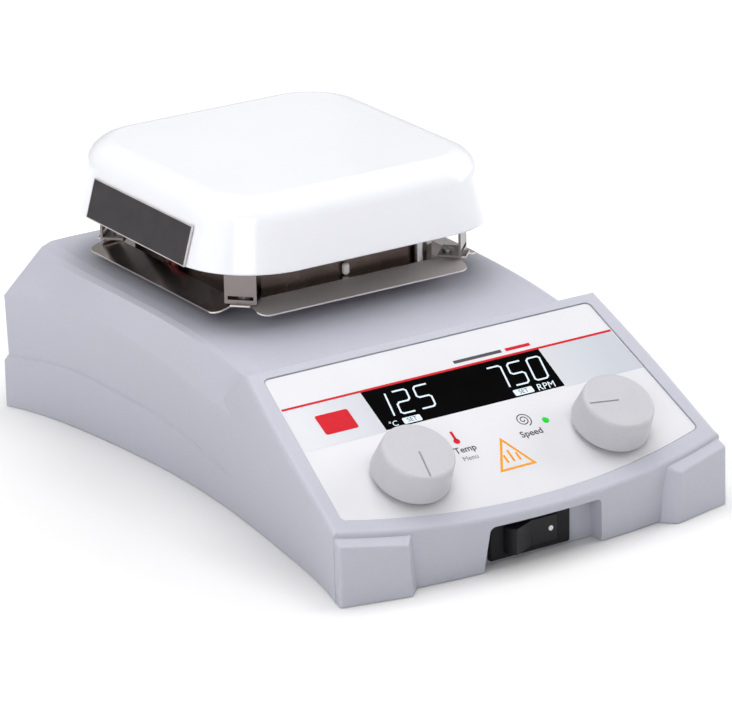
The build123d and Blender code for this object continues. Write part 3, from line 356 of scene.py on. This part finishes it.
PRINT_T = 0.05                      # a printed layer
OVERPRINT = FILM + PRINT_T          # a print over another
GLASS_PRINT, GLASS_PRINT_T = 0.12, 0.06    # lit marks on the display window


def print_on_panel(name, outlines, material, lift=FILM, thick=PRINT_T):
    mesh = slabs(name, outlines, on_panel, lift - thick, lift)
    return piece(name, mesh, material, "chassis")


DISPLAY_HALF = 52.0
LINE_DOWN, LINE_HALF, LINE_W = 25.6, 96.0, 1.3


def ink(name, colour, rough=0.38, vary=0.04):
    return surface(name, colour, rough, vary=vary, patch=300.0, grain=2400.0, depth=0.00002,
                   Specular_IOR_Level=PRINT_GLOSS)


def rectangle(u0, u1, v0, v1):
    return [(u0, v0), (u1, v0), (u1, v1), (u0, v1)]


RED = ink("print_red", (0.60, 0.012, 0.024))
GREY_INK = ink("print_mid_grey", (0.24, 0.24, 0.26), vary=0.05)
INK = ink("print_dark_grey", (0.075, 0.075, 0.085), 0.40, 0.06)
ORANGE = ink("print_orange", (0.84, 0.33, 0.008))
GLOW = lit("display_glow", (0.76, 0.87, 0.95), 0.80)

red_line = rectangle(-LINE_HALF, LINE_HALF, LINE_DOWN - LINE_W / 2, LINE_DOWN + LINE_W / 2)
print_on_panel("red_line", [red_line], RED, OVERPRINT)

# ---- pale grey bands beside the display, fading towards the panel's edge ----
BAND_TOP, BAND_LOW = 26.2, 52.6
EDGE_TOP, EDGE_LOW = 96.0, 98.6     # the overlay's half width at the band's top and bottom, a little inside


def fading(name, dark, pale, start, end):
    """Print whose grey fades across the panel from x = start to x = end, in millimetres."""
    mat = surface(name, dark, 0.36, vary=0.01, patch=200.0, grain=2400.0, depth=0.00002)
    tree, bsdf = mat.node_tree, mat.node_tree.nodes["Principled BSDF"]
    at = place(tree)
    across = map_range(tree, split(tree, at, "X"), 0.0, 1.0, start * MM, end * MM)
    fade = add_some(tree, across, noise(tree, at, 40.0), 0.04)
    tree.links.new(ramp(tree, fade, [(0.0, dark), (1.0, pale)]), bsdf.inputs["Base Color"])
    return mat


BAND_LEFT = fading("print_band_left", (0.58, 0.60, 0.64), (0.68, 0.69, 0.73), -55.0, -92.0)
BAND_RIGHT = fading("print_band_right", (0.60, 0.625, 0.66), (0.52, 0.545, 0.60), 53.0, 88.0)
for name, side, material in (("grey_band_left", -1, BAND_LEFT), ("grey_band_right", 1, BAND_RIGHT)):
    band = [(side * DISPLAY_HALF, BAND_TOP), (side * EDGE_TOP, BAND_TOP), (side * EDGE_LOW, BAND_LOW),
            (side * DISPLAY_HALF, BAND_LOW)]
    print_on_panel(name, [band], material, FILM)

# ---- display digits: thin lines with cut corners, leaning a little ----
DIGIT_W, DIGIT_H, DIGIT_LEAN, DIGIT_TOP, BAR_W = 7.7, 14.2, 0.18, 30.3, 0.92
CUT_U, CUT_V = 0.16, 0.075
S_CURVE = [(1, 0), (CUT_U, 0), (0, CUT_V), (0, 0.5 - CUT_V), (CUT_U, 0.5), (1 - CUT_U, 0.5), (1, 0.5 + CUT_V),
           (1, 1 - CUT_V), (1 - CUT_U, 1), (0, 1)]
RING = [(CUT_U, 0), (1 - CUT_U, 0), (1, CUT_V), (1, 1 - CUT_V), (1 - CUT_U, 1), (CUT_U, 1), (0, 1 - CUT_V),
        (0, CUT_V)]
DIGITS = {
    "0": (RING, True),
    "1": ([(1, 0), (1, 1)], False),
    "2": ([(1 - u, v) for u, v in S_CURVE], False),
    "5": (S_CURVE, False),
    "7": ([(0, 0), (1 - CUT_U, 0), (1, CUT_V), (1, 1)], False),
}


def digit(char, x):
    path, closed = DIGITS[char]
    points = [(x + u * DIGIT_W - v * DIGIT_H * DIGIT_LEAN, DIGIT_TOP + v * DIGIT_H) for u, v in path]
    return stroke(points, BAR_W, closed)


readout = []
READINGS = (("125", -48.3, 11.9), ("750", 18.8, 11.5))     # text, left edge, pitch
for text, x, pitch in READINGS:
    for i, char in enumerate(text):
        readout += digit(char, x + i * pitch)
print_on_panel("readout_digits", readout, GLOW, GLASS_PRINT, GLASS_PRINT_T)
CHIP_R = 0.7
chips = [rounded_box(-40.8, -30.6, 47.1, 50.9, CHIP_R), rounded_box(23.7, 34.8, 47.0, 50.8, CHIP_R)]
print_on_panel("readout_chips", chips, GLOW, GLASS_PRINT, GLASS_PRINT_T)

WORD_HALF_T = 0.03
CURVE_STEPS = 3
GLASS_WORD = 0.10                   # lift of a word on the display window
CHIP_WORD = 0.16                    # and of a word on a lit chip
UNIT_LEAN = 0.15
BOLD = 0.06                         # added all round to a bolder word


def words(name, text, x, down, size, material, lift=FILM, lean=0.0, weight=0.0):
    """Flat lettering turned to a mesh, centred on a panel point."""
    curve = bpy.data.curves.new(name, "FONT")
    curve.body = text
    curve.size = size * MM
    curve.extrude = WORD_HALF_T * MM
    curve.align_x, curve.align_y = "CENTER", "CENTER"
    curve.shear = lean
    curve.resolution_u = CURVE_STEPS
    curve.offset = weight * MM
    helper = bpy.data.objects.new(name + "_curve", curve)
    bpy.context.scene.collection.objects.link(helper)
    turn = Matrix((ACROSS, UPHILL, PANEL_N)).transposed().to_4x4()
    turn.translation = on_panel(x, down, lift)
    depsgraph = bpy.context.evaluated_depsgraph_get()
    mesh = bpy.data.meshes.new_from_object(helper.evaluated_get(depsgraph))
    bpy.data.objects.remove(helper)
    mesh.transform(turn)
    mesh.name = name
    mesh.materials.clear()
    return piece(name, mesh, material, "chassis")


words("readout_rpm", "RPM", 42.2, 49.1, 5.7, GLOW, GLASS_WORD, UNIT_LEAN)
words("readout_degrees", "°C", -46.6, 49.2, 4.6, GLOW, GLASS_WORD, UNIT_LEAN)
words("chip_word_left", "SET", -35.7, 49.0, 3.6, INK, CHIP_WORD)
words("chip_word_right", "SET", 29.2, 48.9, 3.6, INK, CHIP_WORD)
words("legend_temp", "Temp", -20.2, 74.0, 5.2, INK, weight=BOLD)
words("legend_menu", "Menu", -20.4, 79.6, 3.9, GREY_INK)
words("legend_speed", "Speed", 18.2, 74.2, 5.3, INK, weight=BOLD)

# ---- stirring spiral, thermometer, generic hot-surface mark, plain red mark ----
SPIRAL_X, SPIRAL_DOWN, SPIRAL_R = 18.6, 65.6, 4.3
SPIRAL_TURNS, SPIRAL_STEPS, SPIRAL_W = 2.2, 60, 0.55
SPIRAL_EYE = 0.12                   # the inner end's share of the radius
THERMO_X, THERMO_DOWN = -21.6, 68.2     # middle of the bulb
THERMO_W, BULB_R = 1.5, 1.7
TRIANGLE = [(0.6, 73.6), (9.3, 91.6), (-9.9, 91.7)]
TRIANGLE_W = 1.25
HEAT_LOW, HEAT_W = 88.0, 1.2
HEAT_BARS = ((-3.6, 83.0), (-0.1, 80.6), (3.4, 83.0))      # place across, top
BAR_DOWN, BAR_T = 21.9, 1.9


def spiral():
    points = []
    for i in range(SPIRAL_STEPS + 1):
        t = i / SPIRAL_STEPS
        a = SPIRAL_TURNS * 2 * math.pi * t
        r = SPIRAL_R * (SPIRAL_EYE + (1 - SPIRAL_EYE) * t)
        points.append((SPIRAL_X + r * math.cos(a), SPIRAL_DOWN + r * math.sin(a)))
    return stroke(points, SPIRAL_W)


def thermometer():
    stem = [(THERMO_X + 0.2, THERMO_DOWN - 6.4), (THERMO_X, THERMO_DOWN - 1.0)]
    return stroke(stem, THERMO_W) + [disc(THERMO_X, THERMO_DOWN, BULB_R)]


def heat_bars():
    return [outline for x, top in HEAT_BARS for outline in stroke([(x, top), (x, HEAT_LOW)], HEAT_W)]


print_on_panel("stir_spiral", spiral(), INK)
print_on_panel("thermometer_mark", thermometer(), RED)
print_on_panel("heat_mark_border", stroke(TRIANGLE, TRIANGLE_W, closed=True), ORANGE)
print_on_panel("heat_mark_bars", heat_bars(), ORANGE)
print_on_panel("type_bar", stroke([(4.5, BAR_DOWN), (32.5, BAR_DOWN)], BAR_T), INK)
print_on_panel("type_bar_red", stroke([(35.0, BAR_DOWN), (49.5, BAR_DOWN)], BAR_T), RED)
print_on_panel("maker_block", [rounded_box(-82.5, -64.0, 33.5, 46.0, 1.2)], RED, OVERPRINT)

# ---------------------------------------------------------------- knobs, rocker, side plate
KNOB_FLOOR = 17.13                  # floor of the pointer groove above the panel
GROOVE = surface("pointer_groove", (0.30, 0.30, 0.325), 0.55, vary=0.05, patch=200.0, grain=1900.0,
                 depth=0.00005)
POINTERS = {"temp": (temp_hub, 169.6), "speed": (speed_hub, 81.4)}      # degrees anticlockwise from uphill
POINTER_FROM, POINTER_TO, POINTER_HALF = 0.4, 15.6, 0.42
PAINT_UNDER, PAINT_OVER = 0.03, 0.05    # the paint's lower and upper face about the groove's floor


def knob_line(side):
    """Paint in the pointer groove of a knob."""
    hub, turn = POINTERS[side]
    a = math.radians(turn)
    out, over = (-math.sin(a), math.cos(a)), (math.cos(a), math.sin(a))

    def to_world(u, v, lift):
        x, up = out[0] * u + over[0] * v, out[1] * u + over[1] * v
        return hub + ACROSS * x * MM + UPHILL * up * MM + PANEL_N * lift * MM
    outline = rectangle(POINTER_FROM, POINTER_TO, -POINTER_HALF, POINTER_HALF)
    mesh = slabs(side + "_pointer", [outline], to_world, KNOB_FLOOR - PAINT_UNDER, KNOB_FLOOR + PAINT_OVER)
    piece(side + "_pointer", mesh, GROOVE, side + "_dial")


for side in POINTERS:
    knob_line(side)

frame_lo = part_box("rocker_frame")[0]
pivot = Vector(joints["rocker_tilt"]["pos_m"])
PRESSED_Y = frame_lo.y - 0.6 * MM   # the pressed half stands this little out of the frame
DOT_X, DOT_R = 11.4 * MM, 1.3 * MM
DOT_UNDER, DOT_OVER = 0.03 * MM, 0.07 * MM
WHITE_PAINT = surface("white_paint", (0.80, 0.82, 0.85), 0.4, vary=0.05, patch=300.0, grain=1500.0,
                      depth=0.00003)


def rocker_dot():
    """White dot on the pressed half."""
    def to_world(u, v, lift):
        return Vector((pivot.x + DOT_X + u, PRESSED_Y - lift, pivot.z + v))
    mesh = slabs("rocker_dot", [disc(0, 0, DOT_R)], to_world, -DOT_UNDER, DOT_OVER)
    piece("rocker_dot", mesh, WHITE_PAINT, "switch_rocker")


rocker_dot()


# ---- bright cut edge of the side plate ----
PLATE_W, PLATE_H, PLATE_T, PLATE_DRAFT = 94.5, 20.5, 0.9, math.radians(16.0)
RIM_IN, RIM_OUT = 0.45, 0.05


def plate_rim():
    """Thin bright strips round the edge of the dark plate."""
    lo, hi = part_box("side_plate")
    along = Vector((0, -1, 0))
    up = Vector((math.sin(PLATE_DRAFT), 0, math.cos(PLATE_DRAFT)))
    out = Vector((-math.cos(PLATE_DRAFT), 0, math.sin(PLATE_DRAFT)))

    def to_world(u, v, lift):
        return (lo + hi) / 2 + (along * u + up * v + out * lift) * MM

    u, v = PLATE_W / 2, PLATE_H / 2
    bars = [rectangle(-u - RIM_OUT, u + RIM_OUT, -v - RIM_OUT, -v + RIM_IN),
            rectangle(-u - RIM_OUT, u + RIM_OUT, v - RIM_IN, v + RIM_OUT),
            rectangle(u - RIM_IN, u + RIM_OUT, -v + RIM_IN, v - RIM_IN),
            rectangle(-u - RIM_OUT, -u + RIM_IN, -v + RIM_IN, v - RIM_IN)]
    mesh = slabs("side_plate_rim", bars, to_world, -PLATE_T / 2, PLATE_T / 2 + RIM_OUT)
    piece("side_plate_rim", mesh, PLATE_EDGE, "chassis")


plate_rim()


# ---------------------------------------------------------------- floor, light, camera
FLOOR_HALF = 6.0
FLOOR_STRETCH = (1.0, 0.72, 1.0)    # the glow's rings are longer along Y, as the object is
GLOW_FROM, GLOW_TO, GLOW_MOST = 0.13, 0.50, 0.75     # metres out where it starts and is full, strength


def floor_paint():
    """Pale floor with painted light: it glows brighter away from the object so that it runs out to white."""
    mat = surface("studio_floor", (0.80, 0.80, 0.80), 0.6, vary=0.004, patch=2.0, grain=60.0, depth=0.0002,
                  strength=0.05)
    tree, bsdf = mat.node_tree, mat.node_tree.nodes["Principled BSDF"]
    length = tree.nodes.new("ShaderNodeVectorMath")
    length.operation = "LENGTH"
    tree.links.new(place(tree, FLOOR_STRETCH), length.inputs[0])
    glow = map_range(tree, length.outputs["Value"], 0.0, GLOW_MOST, GLOW_FROM, GLOW_TO)
    tree.links.new(glow, bsdf.inputs["Emission Strength"])
    bsdf.inputs["Emission Color"].default_value = (1.0, 1.0, 1.0, 1.0)
    return mat


def floor():
    bm = bmesh.new()
    outline = rectangle(-FLOOR_HALF, FLOOR_HALF, -FLOOR_HALF, FLOOR_HALF)
    bm.faces.new([bm.verts.new((x, y, 0)) for x, y in outline])
    mesh = bpy.data.meshes.new("floor")
    bm.to_mesh(mesh)
    bm.free()
    obj = bpy.data.objects.new("floor", mesh)
    bpy.context.scene.collection.objects.link(obj)
    mesh.materials.append(floor_paint())


SKY_LIGHT, SKY_SEEN = 0.292, 1.0    # the world's strength as a light, and as the camera sees it
LIGHT_AIM = (0, 0, 0.05)
LIGHTS = {                          # place, size, watts
    "top": ((0.0, 0.1, 1.6), (1.4, 1.4), 20.4),
    "topleft": ((-1.3, 0.1, 1.2), (1.2, 1.0), 3.6),
    "leftlow": ((-1.7, 0.0, 0.45), (1.2, 0.6), 1.5),
    "frontleft": ((-1.3, -1.3, 0.9), (1.0, 0.8), 8.4),
    "right": ((1.6, -0.2, 0.8), (1.2, 0.8), 12.8),
    "rear": ((0.3, 1.6, 0.9), (1.4, 0.8), 0.5),
}


def area_light(name, at, size, power):
    light = bpy.data.lights.new(name, "AREA")
    light.shape = "RECTANGLE"
    light.size, light.size_y = size
    light.energy = power
    obj = bpy.data.objects.new(name, light)
    obj.location = at
    obj.rotation_euler = (Vector(LIGHT_AIM) - Vector(at)).to_track_quat("-Z", "Y").to_euler()
    bpy.context.scene.collection.objects.link(obj)


def studio():
    world = bpy.data.worlds.new("studio")
    bpy.context.scene.world = world
    world.use_nodes = True
    tree = world.node_tree
    back = tree.nodes["Background"]
    back.inputs["Color"].default_value = (1.0, 1.0, 1.0, 1.0)
    rays = tree.nodes.new("ShaderNodeLightPath")
    power = map_range(tree, rays.outputs["Is Camera Ray"], SKY_LIGHT, SKY_SEEN)
    tree.links.new(power, back.inputs["Strength"])
    for name, (at, size, watts) in LIGHTS.items():
        area_light(name, at, size, watts)
    bpy.context.scene.view_settings.view_transform = "Standard"
    bpy.context.scene.view_settings.look = "None"


AZIMUTH, ELEVATION, ROLL = -32.94, 20.06, -0.96      # degrees
CAMERA_AT = (-1.1610, -1.8024, 0.8382)
LENS_MM, SENSOR_MM, CLIP_END = 225.0, 36.0, 20.0


def camera():
    a, e, r = (math.radians(v) for v in (AZIMUTH, ELEVATION, ROLL))
    back = Vector((math.sin(a) * math.cos(e), -math.cos(a) * math.cos(e), math.sin(e)))
    right = Vector((math.cos(a), math.sin(a), 0))
    up = back.cross(right)
    right, up = right * math.cos(r) + up * math.sin(r), up * math.cos(r) - right * math.sin(r)
    data = bpy.data.cameras.new("camera")
    data.lens, data.sensor_width = LENS_MM, SENSOR_MM
    data.clip_end = CLIP_END
    obj = bpy.data.objects.new("camera", data)
    turn = Matrix((right, up, back)).transposed().to_4x4()
    turn.translation = Vector(CAMERA_AT)
    obj.matrix_world = turn
    bpy.context.scene.collection.objects.link(obj)
    bpy.context.scene.camera = obj


floor()
studio()
camera()
